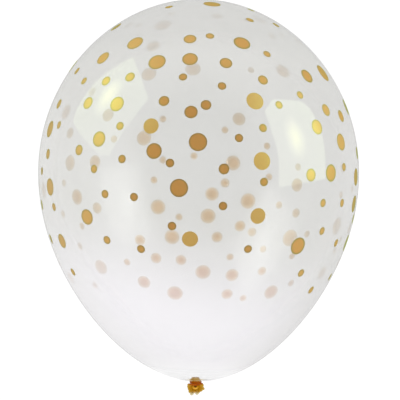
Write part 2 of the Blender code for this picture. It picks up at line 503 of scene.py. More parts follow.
def lip_reach(angle):
    """How far the lip reaches from its middle in one direction, in metres."""
    start = LIP_REACH[0][0]
    degrees = (math.degrees(angle) - start) % 360 + start
    for (low, first), (high, second) in zip(LIP_REACH, LIP_REACH[1:]):
        if degrees <= high:
            share = smooth_step((degrees - low) / (high - low))
            return (first + (second - first) * share) / 1000


def egg_share(sizes, turn):
    """Radius of the skin at an angle from the crown, before it is scaled to the width."""
    lean = math.cos(turn)
    return math.sin(turn) * (1 + sizes.crown_lean * lean - sizes.end_slimming * lean**2)


def egg_scale(sizes):
    """What scales these radii to the width."""
    steps = 720
    widest = max(egg_share(sizes, math.pi * i / steps) for i in range(steps))
    return sizes.width / 2 / widest


# Node helpers
def fill(node, values):
    """Gives a node's inputs these plain values."""
    for key, value in values.items():
        node.inputs[key].default_value = value
    return node


def new_material(name, **plain):
    """A material, its node tree and its Principled shader, which gets these plain values."""
    material = bpy.data.materials.new(name)
    material.use_nodes = True
    values = {key.replace("_", " "): value for key, value in plain.items()}
    shader = fill(material.node_tree.nodes["Principled BSDF"], values)
    return material, material.node_tree, shader


def add_node(tree, kind, values=None, **settings):
    """A node with its settings and its input values."""
    node = tree.nodes.new(kind)
    for key, value in settings.items():
        setattr(node, key, value)
    return fill(node, values or {})


def feed(socket, value):
    """Links a socket to another one, or gives it a plain value."""
    if isinstance(value, bpy.types.NodeSocket):
        socket.id_data.links.new(value, socket)
    else:
        socket.default_value = value


def maths(operation, first, second):
    """One sum of two sockets, or of a socket and a number."""
    tree = next(x.id_data for x in (first, second) if isinstance(x, bpy.types.NodeSocket))
    node = add_node(tree, "ShaderNodeMath", operation=operation)
    feed(node.inputs[0], first)
    feed(node.inputs[1], second)
    return node.outputs[0]


def plus(first, second):
    """The first and the second."""
    return maths("ADD", first, second)


def minus(first, second):
    """The first without the second."""
    return maths("SUBTRACT", first, second)


def times(first, second):
    """The first, as many times as the second says."""
    return maths("MULTIPLY", first, second)


def rise(source, ends, low=0.0, high=1.0):
    """A soft change from low to high, while the source goes from the first end to the second."""
    node = add_node(
        source.id_data,
        "ShaderNodeMapRange",
        {"To Min": low, "To Max": high},
        interpolation_type="SMOOTHSTEP",
    )
    feed(node.inputs["Value"], source)
    feed(node.inputs["From Min"], ends[0])
    feed(node.inputs["From Max"], ends[1])
    return node.outputs["Result"]


def blend(share, first, second):
    """A colour between two colours or colour sockets."""
    node = add_node(share.id_data, "ShaderNodeMix", data_type="RGBA")
    feed(node.inputs["Factor"], share)
    for socket, value in ((node.inputs[6], first), (node.inputs[7], second)):
        feed(socket, value if isinstance(value, bpy.types.NodeSocket) else (*value, 1.0))
    return node.outputs[2]


def scaled(colour_socket, share):
    """A colour made brighter or darker."""
    node = add_node(colour_socket.id_data, "ShaderNodeVectorMath", operation="SCALE")
    feed(node.inputs[0], colour_socket)
    feed(node.inputs["Scale"], share)
    return node.outputs[0]


def distance_from(place, point):
    """How far a place on the surface is from a point."""
    node = add_node(place.id_data, "ShaderNodeVectorMath", operation="DISTANCE")
    feed(node.inputs[0], place)
    feed(node.inputs[1], point)
    return node.outputs["Value"]


def split(vector):
    """The x, y and z of a vector socket."""
    node = add_node(vector.id_data, "ShaderNodeSeparateXYZ")
    feed(node.inputs[0], vector)
    return node.outputs


def own_place(tree):
    """The place on a surface in its piece's own space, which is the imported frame's."""
    return add_node(tree, "ShaderNodeTexCoord").outputs["Object"]


def turned_away(tree):
    """How far the surface turns away from the view."""
    return add_node(tree, "ShaderNodeLayerWeight", {"Blend": 0.5}).outputs["Facing"]


def attribute(tree, name):
    """A number kept on a mesh."""
    return add_node(tree, "ShaderNodeAttribute", attribute_name=name).outputs["Fac"]


def bump(height, shader, strength, distance):
    """Lets a height tilt the shader's surface."""
    values = {"Strength": strength, "Distance": distance}
    node = add_node(height.id_data, "ShaderNodeBump", values)
    feed(node.inputs["Height"], height)
    feed(shader.inputs["Normal"], node.outputs["Normal"])


def add_group(name, inputs, outputs):
    """An empty node group with these input and output sockets."""
    group = bpy.data.node_groups.new(name, "ShaderNodeTree")
    for title, default in inputs.items():
        kind = "NodeSocketVector" if default is None else "NodeSocketFloat"
        socket = group.interface.new_socket(title, in_out="INPUT", socket_type=kind)
        if default is not None:
            socket.default_value = default
    for title in outputs:
        group.interface.new_socket(title, in_out="OUTPUT", socket_type="NodeSocketFloat")
    start = group.nodes.new("NodeGroupInput").outputs
    return group, start, group.nodes.new("NodeGroupOutput").inputs


def place_group(tree, build, values, place=None):
    """Puts a node group into a material with its own values, built when first asked for."""
    node = add_node(tree, "ShaderNodeGroup")
    node.node_tree = bpy.data.node_groups.get(build.__name__) or build(build.__name__)
    if place:
        feed(node.inputs["Place"], place)
    return fill(node, values).outputs


def latex_mottle(name):
    """Cloudy unevenness of dipped latex: a soft shade about 0, and a height."""
    inputs = {"Place": None, "Cloud Scale": 30.0, "Ripple Scale": 400.0}
    group, start, end = add_group(name, inputs, ("Shade", "Height"))
    clouds = add_node(group, "ShaderNodeTexNoise", {"Detail": 3.0, "Roughness": 0.55})
    ripples = add_node(group, "ShaderNodeTexNoise", {"Detail": 2.0, "Roughness": 0.5})
    for node, scale in ((clouds, "Cloud Scale"), (ripples, "Ripple Scale")):
        feed(node.inputs["Vector"], start["Place"])
        feed(node.inputs["Scale"], start[scale])
    feed(end["Shade"], minus(clouds.outputs["Fac"], 0.5))
    feed(end["Height"], plus(clouds.outputs["Fac"], times(ripples.outputs["Fac"], 0.25)))
    return group


def ink_grain(name):
    """Fine grain of metallic ink: flakes, a soft cloud and a height."""
    inputs = {"Place": None, "Flake Scale": 2600.0}
    group, start, end = add_group(name, inputs, ("Flakes", "Cloud", "Height"))
    flakes = add_node(group, "ShaderNodeTexVoronoi", feature="F1")
    clouds = add_node(group, "ShaderNodeTexNoise", {"Scale": 90.0, "Detail": 2.0})
    feed(flakes.inputs["Vector"], start["Place"])
    feed(flakes.inputs["Scale"], start["Flake Scale"])
    feed(clouds.inputs["Vector"], start["Place"])
    tones = add_node(group, "ShaderNodeSeparateColor")
    feed(tones.inputs["Color"], flakes.outputs["Color"])
    feed(end["Flakes"], tones.outputs[0])
    feed(end["Cloud"], clouds.outputs["Fac"])
    feed(end["Height"], flakes.outputs["Distance"])
    return group


def dot_rim(name):
    """A share that rises from 0 inside a dot to 1 at its rim, over a set width."""
    group, start, end = add_group(name, {"Width": 0.002, "Edge": 0.0003}, ("Rim",))
    inside = minus(1.0, attribute(group, "from_centre"))
    depth = times(inside, attribute(group, "dot_radius"))
    feed(end["Rim"], rise(depth, (start["Width"], start["Edge"])))
    return group


# Materials
def make_film(sizes, colours):
    """Clear stretched latex: clearest mid-way, milky with a painted reflection lower down, amber at
    the end.
    """
    material, tree, shader = new_material("clear_latex_film", Metallic=0.0, IOR=3.0)
    place = own_place(tree)
    axes = split(place)
    cloud = place_group(tree, latex_mottle, {"Cloud Scale": 14.0, "Ripple Scale": 120.0}, place)
    along = plus(axes["Y"], times(cloud["Shade"], FILM_SHIFT))
    # Milky lower down: thicker latex and a painted reflection of the pale floor; it reaches higher
    # on the left as painted light
    milk_and_reflection = rise(plus(along, times(axes["X"], LEFT_LIGHT_SLOPE)), MILKY_AND_REFLECTING_FILM)
    dense = rise(along, SHOULDER_FILM)
    end = distance_from(place, knot_middle(sizes))
    cap = rise(end, CAP_FILM)
    neck = rise(end, NECK_FILM)
    tip = rise(distance_from(place, (0, HIGH.y, axis_height(sizes))), CROWN_TIP)
    away = turned_away(tree)
    edge = rise(away, FILM_SLANT)
    rim = rise(away, FILM_RIM)

    film = blend(milk_and_reflection, colours.film, colours.milk_and_reflection)
    # Painted light: away from the crown the film is lighter on the left and darker on the right
    film = blend(dense, scaled(film, plus(1.0, times(axes["X"], -1.2))), colours.shoulder)
    film = blend(rise(along, CROWN_FILM), film, colours.crown)
    film = blend(times(edge, minus(0.6, times(dense, 0.24))), film, colours.side)
    film = blend(times(rim, minus(0.6, times(milk_and_reflection, 0.4))), film, colours.film)
    right, down = (times(axes[key], way) for key, way in zip("XY", SHADED_WAY))
    to_shade = minus(right, down)
    film = blend(rise(to_shade, SHADED_SIDE, 0.0, 0.24), film, colours.film)
    film = blend(maths("POWER", cap, 4.0), film, colours.cap)
    film = blend(neck, film, colours.neck)
    feed(shader.inputs["Base Color"], film)

    cover = plus(times(milk_and_reflection, 0.03), 0.25)
    for share, gain in ((dense, 0.17), (edge, 0.32), (rim, 0.20)):
        cover = plus(cover, times(share, gain))
    cover = minus(cover, times(minus(cover, 0.14), cap))
    cover = plus(cover, times(neck, 0.06))
    cover = plus(cover, rise(end, DENSER_CAP, 0.0, 0.06))
    for share, gain in ((tip, 0.10), (cloud["Shade"], 0.04)):
        cover = plus(cover, times(share, gain))
    # A fine speck, as of powder, keeps the film's edge from showing as thin lines
    speck = add_node(tree, "ShaderNodeTexWhiteNoise", noise_dimensions="3D")
    feed(speck.inputs["Vector"], place)
    cover = plus(cover, times(times(minus(speck.outputs["Value"], 0.5), 0.14), edge))
    feed(shader.inputs["Alpha"], cover)

    gloss = plus(0.07, times(cloud["Shade"], 0.03))
    inner = add_node(tree, "ShaderNodeNewGeometry").outputs["Backfacing"]
    feed(shader.inputs["Roughness"], plus(gloss, times(inner, 0.11)))
    bump(cloud["Height"], shader, 0.06, 0.0006)
    return material


def make_gold(prints, colours):
    """Gold ink on the outside of the film, thicker and darker at each dot's rim."""
    material, tree, shader = new_material(
        "gold_ink", Metallic=0.1, IOR=5.0, Specular_Tint=(0.64, 1.0, 0.38, 1.0), Coat_Roughness=0.12
    )
    place = own_place(tree)
    ink = place_group(tree, ink_grain, {"Flake Scale": 2600.0}, place)
    rim = place_group(tree, dot_rim, {"Width": prints.rim, "Edge": 0.0003})["Rim"]
    paleness = attribute(tree, "paleness")
    deeper = times(paleness, -1.0)
    away = turned_away(tree)

    # Painted light: brighter where the ink turns from the view
    base = blend(rise(away, INK_SLANT), colours.gold, colours.gold_slant_lit)
    pale = tuple(min(1.0, channel * 1.12) for channel in colours.gold)
    base = blend(times(rise(ink["Cloud"], (0.35, 0.70)), 0.3), base, pale)
    base = blend(rise(split(place)["X"], LEFT_INK), base, colours.gold_left)
    base = blend(paleness, base, colours.gold_light)
    base = blend(deeper, base, colours.gold_deep)
    base = blend(times(rim, minus(0.88, times(paleness, 0.75))), base, colours.gold_rim_and_side_shade)
    # Painted shade: darker where the ink turns edge on, at the skin's sides
    base = blend(times(rise(away, INK_SIDE), 0.75), base, colours.gold_rim_and_side_shade)
    # Painted shade: duller still, edge on
    base = blend(rise(away, INK_EDGE), base, colours.gold_edge_shade)
    flaked = scaled(base, rise(ink["Flakes"], (0.0, 1.0), 0.82, 1.12))
    feed(shader.inputs["Base Color"], flaked)

    rough = plus(0.32, times(ink["Flakes"], 0.12))
    feed(shader.inputs["Roughness"], plus(rough, times(rim, 0.08)))
    feed(shader.inputs["Coat Weight"], minus(rise(away, INK_COAT, 0.5, 0.0), times(deeper, 0.5)))
    bump(ink["Height"], shader, 0.10, 0.0002)
    return material


def make_ink_back(prints, colours):
    """The same ink from behind, through the film: pale and dull."""
    material, tree, shader = new_material("ink_seen_through_film", Metallic=0.15)
    place = own_place(tree)
    ink = place_group(tree, ink_grain, {"Flake Scale": 1800.0}, place)
    rim = place_group(tree, dot_rim, {"Width": prints.blurred_rim, "Edge": 0.0})["Rim"]
    pale = tuple(min(1.0, channel * 1.10) for channel in colours.ink_back)
    base = blend(rise(ink["Cloud"], (0.35, 0.65)), colours.ink_back, pale)
    base = blend(rise(split(place)["Y"], LOW_INK), base, colours.ink_back_low)
    # Paler by each dot's paleness; for the faint dots under the soft boxes this is a painted
    # reflection
    base = blend(attribute(tree, "paleness"), base, colours.pale_ink_back)
    base = blend(times(rim, 0.75), base, colours.pale_ink_back)
    feed(shader.inputs["Base Color"], base)
    feed(shader.inputs["Roughness"], plus(0.42, times(ink["Flakes"], 0.12)))
    return material


def make_amber(sizes, colours):
    """Unstretched amber latex of knot and tail: deeper where thick; painted shade and light."""
    material, tree, shader = new_material(
        "amber_latex",
        Subsurface_Weight=0.10,
        Subsurface_Radius=(1.0, 0.45, 0.12),
        Subsurface_Scale=0.0010,
        Specular_Tint=(1.0, 0.65, 0.20, 1.0),
        Specular_IOR_Level=0.25,
    )
    place = own_place(tree)
    axes = split(place)
    cloud = place_group(
        tree, latex_mottle, {"Cloud Scale": 420.0, "Ripple Scale": 1500.0}, place
    )
    wander = times(cloud["Shade"], AMBER_SHIFT)
    along = plus(axes["Y"], wander)
    mouth, ahead = tail_place(sizes, sizes.mouth_share)
    from_mouth = plus(distance_from(place, mouth), wander)
    base = blend(rise(from_mouth, OLIVE_LIP), colours.amber, colours.olive_amber)
    across = maths("ABSOLUTE", plus(axes["X"], sizes.knot_offset), 0.0)
    lowered = minus(along, times(across, DEEP_SLOPE))
    # Deeper where the latex is thick, and painted shade in the shadowed wrap above the mouth
    thick_and_shaded = rise(lowered, [mouth.y + end for end in DEEP_AND_SHADED_LATEX])
    base = blend(thick_and_shaded, base, colours.deep_amber_and_shade)
    out, down = BELOW_MOUTH
    below = mouth + ahead * out + Vector((0, -down, 0))
    # Painted light below the mouth, where light shines through the thin latex
    base = blend(rise(distance_from(place, below), LIT_LATEX), base, colours.lit_amber)
    # Painted shade: the hole inside the mouth is darkened
    hole_shade = rise(distance_from(place, mouth - ahead * INSIDE_MOUTH), MOUTH_HOLE_SHADE)
    base = blend(times(hole_shade, 0.4), base, colours.deep_amber_and_shade)
    top = rise(along, [skin_end(sizes) + end for end in KNOT_TOP])
    base = blend(top, base, colours.knot_amber)
    tips = rise(along, [LOW.y + end for end in LIP_TIPS])
    base = blend(tips, base, colours.pale_amber)
    feed(shader.inputs["Base Color"], base)
    feed(shader.inputs["Roughness"], plus(0.30, times(cloud["Shade"], 0.20)))
    bump(cloud["Height"], shader, 0.35, 0.0003)
    return material


# The skin
def turn_skin(sizes):
    """The blown-up egg: a sphere drawn out to size and tapered twice, with its crown at +Y."""
    scale = egg_scale(sizes)
    deselect()
    bpy.ops.mesh.primitive_uv_sphere_add(
        segments=sizes.skin_sides, ring_count=sizes.skin_rings, radius=1.0
    )
    skin = bpy.context.object
    skin.scale = (scale, scale, sizes.skin_length / 2)
    settle()
    root = math.sqrt(sizes.crown_lean**2 + 4 * sizes.end_slimming)
    for sign in (1, -1):
        factor = sizes.crown_lean + sign * root
        apply_modifier(
            skin, "taper", "SIMPLE_DEFORM", deform_method="TAPER", deform_axis="Z", factor=factor
        )
    skin.rotation_euler = (-math.pi / 2, 0, 0)
    skin.location = (0, HIGH.y - sizes.skin_length / 2, axis_height(sizes))
    return settle()


def pucker_skin(skin, sizes):
    """Opens the end at the knot and extrudes it inwards, ring by ring, into a small dimple."""
    height = axis_height(sizes)
    last = skin_end(sizes)
    reach = sizes.pucker_width * PUCKER_REACH
    from_axis = lambda vert: math.hypot(vert.co.x, vert.co.z - height)
    at_end = [vert for vert in skin.data.vertices if vert.co.y < 0 and from_axis(vert) < reach]
    outermost = max(at_end, key=from_axis)
    ring = from_axis(outermost)
    curve = ring**2 / 2 / (outermost.co.y - last)
    choose(skin)
    edit()
    bpy.ops.mesh.select_mode(type="VERT")
    pick(skin, lambda vert: vert.co.y < 0 and from_axis(vert) < ring - TINY)
    bpy.ops.mesh.delete(type="VERT")
    pick(skin, lambda vert: vert.co.y < 0 and abs(from_axis(vert) - ring) < TINY)
    neck = sizes.knot_width / 2 - sizes.knot_bite
    aside = 0.0
    radius = ring
    along = last + ring**2 / 2 / curve
    for step in range(1, sizes.pucker_steps + 1):
        share = step / sizes.pucker_steps
        new_radius = ring + (neck - ring) * (1 - (1 - share) ** PUCKER_CROWDING)
        half = sizes.pucker_width / 2
        drawn = smooth_step((half - new_radius) / (half - neck))
        new_along = last + new_radius**2 / 2 / curve + sizes.pucker_depth * drawn
        new_aside = -sizes.knot_offset * smooth_step(share * PUCKER_SHIFT)
        bpy.ops.mesh.extrude_edges_move(
            TRANSFORM_OT_translate={"value": (new_aside - aside, new_along - along, 0)}
        )
        bpy.ops.transform.resize(
            value=(new_radius / radius, 1, new_radius / radius),
            center_override=(new_aside, new_along, height),
        )
        aside, along, radius = new_aside, new_along, new_radius
    bpy.ops.mesh.edge_face_add()
    bpy.ops.mesh.poke()
    edit(False)


def pleat_skin(skin, sizes):
    """Raises fine pleats that run out from the knot and die away in the round skin."""
    middle = knot_middle(sizes)
    outer = sizes.pucker_width * PLEAT_REACH
    for vert in skin.data.vertices:
        aside = vert.co - middle
        radius = math.hypot(aside.x, aside.z)
        if vert.co.y > 0 or not PLEAT_START < radius < outer:
            continue
        angle = math.atan2(aside.z, aside.x)
        fade = smooth_step((outer - radius) / outer)
        fade *= smooth_step((radius - PLEAT_START) / PLEAT_RISE)
        wave = math.cos(sizes.pleats * angle + 1.7 * math.sin(3 * angle))
        wave += 0.5 * math.cos(0.5 * sizes.pleats * angle + 2.0 * math.sin(2 * angle + 1))
        vert.co.y += sizes.pleat_height * fade * wave


def flatten_skin(skin, room, edge):
    """Presses the underside flat on the ink under it, with a soft edge round the flat spot."""
    choose(skin)
    edit()
    pick(skin, lambda vert: vert.co.z < room)
    bpy.ops.transform.resize(
        value=(1, 1, 0),
        center_override=(0, 0, room),
        use_proportional_edit=True,
        proportional_edit_falloff="SMOOTH",
        proportional_size=edge,
    )
    face_outwards()


class MakeSkin(bpy.types.Operator):
    """Makes the blown-up skin"""

    bl_idname = "balloon.make_skin"
    bl_label = "Skin"

    def execute(self, context):
        sizes = context.scene.balloon_sizes
        skin = turn_skin(sizes)
        pucker_skin(skin, sizes)
        pleat_skin(skin, sizes)
        flatten_skin(skin, context.scene.print_sizes.floor_room, sizes.flat_edge)
        dress(skin, make_film(sizes, context.scene.balloon_colours))
        finish_piece(skin, "skin")
        hide_from(skin, "shadow")
        return {"FINISHED"}


# The printed dots
def camera_place(studio, sizes):
    """Where the camera is: straight above the balloon's axis."""
    return Vector((studio.camera_x, studio.camera_y, axis_height(sizes) + studio.camera_distance))


def skin_surface(context):
    """The skin's faces, to look for places on them."""
    return BVHTree.FromObject(bpy.data.objects["skin"], context.evaluated_depsgraph_get())


def seen_place(pixel, behind, surface, studio, sizes):
    """Where on the skin a pixel of the picture looks at, in front or behind, and its normal."""
    eye = camera_place(studio, sizes)
    step = studio.view_width / PICTURE_SIZE
    x = eye.x + (pixel[0] - PICTURE_SIZE / 2) * step
    y = eye.y - (pixel[1] - PICTURE_SIZE / 2) * step
    aim = Vector((x, y, axis_height(sizes)))
    ray = (aim - eye).normalized()
    place, normal, _, _ = surface.ray_cast(eye, ray)
    if place is None:
        place, normal, _, _ = surface.find_nearest(aim)
    elif behind:
        place, normal, _, _ = surface.ray_cast(place + ray * NEXT_LAYER, ray)
    return place, normal


def print_end(place, prints, sizes):
    """Where along +Y the print ends at this height: lower on the side that faces the floor."""
    share = (place.z - axis_height(sizes)) / sizes.width + 0.5
    return prints.back_end + (prints.front_end - prints.back_end) * share


def scattered_place(dice, surface, sizes):
    """An even chance of any place on the skin, and its normal."""
    while True:
        turn = math.acos(dice.uniform(-1, 1))
        if dice.random() < egg_share(sizes, turn) / math.sin(turn) / EGG_LIMIT:
            break
    angle = dice.uniform(0, 2 * math.pi)
    out = egg_scale(sizes) * egg_share(sizes, turn)
    along = HIGH.y - sizes.skin_length / 2 * (1 - math.cos(turn))
    height = axis_height(sizes) + out * math.sin(angle)
    place, normal, _, _ = surface.find_nearest(Vector((out * math.cos(angle), along, height)))
    return place, normal


def ink_paleness(pixel, behind):
    """How much paler the ink of one dot is than that of the rest; deeper ink is below 0."""
    if behind:
        # 0.8 for the faint dots: their paling paints the soft boxes' reflection over them
        return 0.8 if pixel in FAINT_UNDER_REFLECTION else 0.4 if pixel in PALER_BACK else 0.0
    return 1.0 if pixel in LIGHTER_FRONT else -1.0 if pixel in DEEPER_FRONT else 0.0


def lay_out_dots(surface, sizes, prints, studio):
    """(place, normal, radius, paleness) of every dot: the picture's, then more at the sides."""
    dice = random.Random(prints.seed)
    dots = []
    for size in FRONT_DOTS:
        for pixels, behind in ((FRONT_DOTS[size], False), (BACK_DOTS[size], True)):
            for pixel in pixels:
                place, normal = seen_place(pixel, behind, surface, studio, sizes)
                radius = getattr(prints, size) / 2 * dice.uniform(*DOT_SPREAD)
                dots.append((place, normal, radius, ink_paleness(pixel, behind)))
    for size in ("large", "medium", "small"):
        left = getattr(prints, "side_" + size)
        for _ in range(MOST_TRIES):
            if not left:
                break
            radius = getattr(prints, size) / 2 * dice.uniform(*SIDE_DOT_SPREAD)
            place, normal = scattered_place(dice, surface, sizes)
            if place.y < print_end(place, prints, sizes):
                continue
            if not -prints.side_band < normal.z < prints.side_rise:
                continue
            if all((place - dot[0]).length > radius + dot[2] + prints.gap for dot in dots):
                dots.append((place, normal, radius, 0.0))
                left -= 1
    return dots


def dot_template(sides):
    """A flat round dot of radius 1 with a rim ring, and its distance from the centre kept."""
    deselect()
    bpy.ops.mesh.primitive_circle_add(vertices=sides, radius=1.0, fill_type="NGON")
    dot = bpy.context.object
    edit()
    bpy.ops.mesh.select_mode(type="FACE")
    bpy.ops.mesh.select_all(action="SELECT")
    for ring in DOT_RINGS:
        bpy.ops.mesh.inset(thickness=ring)
    bpy.ops.mesh.poke()
    edit(False)
    reach = dot.data.attributes.new("from_centre", "FLOAT", "POINT")
    for vert in dot.data.vertices:
        reach.data[vert.index].value = vert.co.length
    for name in ("dot_radius", "paleness"):
        dot.data.attributes.new(name, "FLOAT", "POINT")
    return dot


class PrintDots(bpy.types.Operator):
    """Prints the gold dots on the skin"""

    bl_idname = "balloon.print_dots"
    bl_label = "Printed dots"

    def execute(self, context):
        scene = context.scene
        prints = scene.print_sizes
        template = dot_template(prints.dot_sides)
        copies = []
        for place, normal, radius, paleness in lay_out_dots(
            skin_surface(context), scene.balloon_sizes, prints, scene.studio_sizes
        ):
            dot = template.copy()
            dot.data = template.data.copy()
            turn = normal.to_track_quat("Z", "Y").to_matrix().to_4x4()
            dot.data.transform(Matrix.Translation(place) @ turn @ Matrix.Scale(radius, 4))
            for name, value in (("dot_radius", radius), ("paleness", paleness)):
                for point in dot.data.attributes[name].data:
                    point.value = value
            context.collection.objects.link(dot)
            copies.append(dot)
        bpy.data.objects.remove(template)
        choose(*copies)
        bpy.ops.object.join()
        dots = context.object
        apply_modifier(
            dots,
            "on_the_skin",
            "SHRINKWRAP",
            target=bpy.data.objects["skin"],
            wrap_method="NEAREST_SURFACEPOINT",
            wrap_mode="ABOVE_SURFACE",
            offset=prints.ink_room - prints.ink,
        )
        colours = scene.balloon_colours
        dress(dots, make_gold(prints, colours), make_ink_back(prints, colours))
        apply_modifier(
            dots, "ink", "SOLIDIFY", thickness=prints.ink, offset=1.0, material_offset=1
        )
        finish_piece(dots, "printed_dots", sharp=INK_CORNER)
        return {"FINISHED"}


# The knot and the tail
def make_strand(sizes):
    """The twisted strand that winds twice round the neck and tucks in at both ends."""
    middle = knot_middle(sizes)
    reach = (sizes.knot_width - sizes.strand) / 2
    last = sizes.strand_points - 1
    deselect()
    bpy.ops.curve.primitive_nurbs_path_add()
    strand = bpy.context.object
    strand.data.splines.clear()
    line = strand.data.splines.new("NURBS")
    line.points.add(last)
    line.order_u = 4
    line.use_endpoint_u = True
    for i, point in enumerate(line.points):
        share = i / last
        angle = STRAND_START + STRAND_TURN * share
        bared = smooth_step(share / STRAND_TUCK) * smooth_step((1 - share) / STRAND_TUCK)
        out = reach * (STRAND_TUCKED + (1 - STRAND_TUCKED) * bared)
        out *= STRAND_SPREAD[0] + STRAND_SPREAD[1] * share
        drop = -STRAND_DROP[0] - STRAND_DROP[1] * share
        drop -= STRAND_SLANT[0] * math.cos(angle - STRAND_SLANT[1])
        aside = STRAND_ASIDE[0] + STRAND_ASIDE[1] * share
        place = middle + Vector((aside, drop, 0))
        point.co = (place.x + out * math.cos(angle), place.y, place.z + out * math.sin(angle), 1.0)
        point.radius = 1.0 - STRAND_THINNING * share + 0.05 * math.sin(9 * share)
    strand.data.bevel_depth = sizes.strand / 2
    strand.data.bevel_resolution = 5
    strand.data.use_fill_caps = True
    choose(strand)
    bpy.ops.object.convert(target="MESH")
    return bpy.context.object


def make_funnel(sizes):
    """The flared tail, extruded ring by ring along its bend into a lobed skirt."""
    middle, _ = tail_place(sizes, 0)
    radius = sizes.throat
    deselect()
    bpy.ops.mesh.primitive_circle_add(
        vertices=sizes.tail_sides, radius=radius, location=middle, rotation=(math.pi / 2, 0, 0)
    )
    funnel = settle()
    edit()
    bpy.ops.mesh.select_all(action="SELECT")
    for step in range(1, sizes.tail_rings + 1):
        share = step / sizes.tail_rings
        new_middle, _ = tail_place(sizes, share)
        new_radius = sizes.throat + (sizes.lip_width / 2 - sizes.throat) * share**FUNNEL_FLARE
        bpy.ops.mesh.extrude_edges_move(TRANSFORM_OT_translate={"value": new_middle - middle})
        bpy.ops.transform.rotate(
            value=sizes.tail_bend / sizes.tail_rings,
            orient_axis="X",
            orient_type="GLOBAL",
            center_override=new_middle,
        )
        bpy.ops.transform.resize(value=(new_radius / radius,) * 3, center_override=new_middle)
        middle, radius = new_middle, new_radius
    edit(False)
    pleat_funnel(funnel, sizes)
    return funnel


def pleat_funnel(funnel, sizes):
    """Pushes the funnel's rings in and out into lobes and pleats that grow towards the lip."""
    for step in range(1, sizes.tail_rings + 1):
        share = step / sizes.tail_rings
        middle, ahead = tail_place(sizes, share)
        up = ahead.cross(Vector((1, 0, 0)))
        first = step * sizes.tail_sides
        for vert in funnel.data.vertices[first : first + sizes.tail_sides]:
            out = vert.co - middle
            angle = math.atan2(out.dot(up), out.x)
            pleats = math.cos(LIP_PLEATS * angle + 1.3 * math.sin(2 * angle))
            grown = lip_reach(angle) / (sizes.lip_width / 2) - 1 + PLEAT_SHARE * pleats
            curl = LIP_CURL * math.cos(3 * angle + 0.6) + PLEAT_CURL * pleats
            vert.co = middle + out * (1 + share**2 * grown) + ahead * share**2 * curl


def make_lip(funnel, sizes):
    """The rolled bead along the funnel's edge."""
    choose(funnel)
    edit()
    pick(funnel, lambda vert: vert.index >= sizes.tail_rings * sizes.tail_sides)
    bpy.ops.mesh.duplicate()
    bpy.ops.mesh.separate(type="SELECTED")
    edit(False)
    lip = [piece for piece in bpy.context.selected_objects if piece is not funnel][0]
    choose(lip)
    bpy.ops.object.convert(target="CURVE")
    lip = bpy.context.object
    lip.data.bevel_depth = sizes.lip_bead / 2
    lip.data.bevel_resolution = 4
    bpy.ops.object.convert(target="MESH")
    return bpy.context.object


def make_neck_core(sizes):
    """The gathered neck inside the knot, from the skin to the bottom of the funnel."""
    deselect()
    bpy.ops.mesh.primitive_cylinder_add(
        vertices=40,
        radius=(sizes.knot_width - sizes.strand) / 2 * CORE_SHARE,
        depth=sizes.core_length,
        location=knot_middle(sizes) - Vector((0, sizes.core_drop, 0)),
        rotation=(math.pi / 2, 0, 0),
    )
    return settle()


def make_mouth(sizes):
    """The rolled mouth inside the tail, a thick ring round a narrow hole."""
    place, _ = tail_place(sizes, sizes.mouth_share)
    _, ahead = tail_place(sizes, 1)
    deselect()
    bpy.ops.mesh.primitive_torus_add(
        major_segments=48,
        minor_segments=20,
        major_radius=sizes.mouth_radius,
        minor_radius=sizes.mouth_bead,
        location=place,
        rotation=ahead.to_track_quat("Z", "Y").to_euler(),
    )
    return settle()


class TieKnot(bpy.types.Operator):
    """Ties the knot and makes the tail"""

    bl_idname = "balloon.tie_knot"
    bl_label = "Knot and tail"

    def execute(self, context):
        sizes = context.scene.balloon_sizes
        funnel = make_funnel(sizes)
        lip = make_lip(funnel, sizes)
        apply_modifier(funnel, "wall", "SOLIDIFY", thickness=sizes.tail_wall, offset=0.0)
        choose(make_strand(sizes), make_neck_core(sizes), make_mouth(sizes), lip, funnel)
        bpy.ops.object.join()
        knot = context.object
        apply_modifier(knot, "one_piece", "REMESH", mode="VOXEL", voxel_size=sizes.melt)
        apply_modifier(knot, "even", "SMOOTH", factor=0.5, iterations=4)
        edit()
        face_outwards()
        dress(knot, make_amber(sizes, context.scene.balloon_colours))
        finish_piece(knot, "knot_and_tail")
        return {"FINISHED"}


# The floor, the lights and the camera
def thrown_back(pixel, surface, studio, sizes):
    """Where a pixel of the picture meets the skin, and which way the skin throws the view."""
    place, normal = seen_place(pixel, False, surface, studio, sizes)
    view = (place - camera_place(studio, sizes)).normalized()
    return place, view.reflect(normal)


def make_glow(name, strength, inside, studio):
    """Light that is brightest at the origin, and longer along its length.

    Through the film, where the far side of the skin shows it, it is brighter by inside.
    """
    material, tree, shader = new_material(name)
    narrow = add_node(tree, "ShaderNodeVectorMath", operation="MULTIPLY")
    feed(narrow.inputs[0], own_place(tree))
    feed(narrow.inputs[1], (studio.core_narrowing, 1.0, 1.0))
    spread = distance_from(narrow.outputs[0], (0.0, 0.0, 0.0))
    near = rise(spread, (studio.core_reach, 0.0))
    gain = plus(1.0, times(near, studio.core_gain - 1))
    layers = add_node(tree, "ShaderNodeLightPath").outputs["Transparent Depth"]
    through = maths("GREATER_THAN", layers, 0.5)
    lift = plus(1.0, times(through, inside - 1))
    light = add_node(tree, "ShaderNodeEmission")
    glow = blend(near, BOX_LIGHT, CORE_LIGHT)
    feed(light.inputs["Color"], blend(through, glow, INNER_LIGHT))
    feed(light.inputs["Strength"], times(gain, times(lift, strength)))
    feed(tree.nodes["Material Output"].inputs["Surface"], light.outputs[0])
    tree.nodes.remove(shader)
    return material


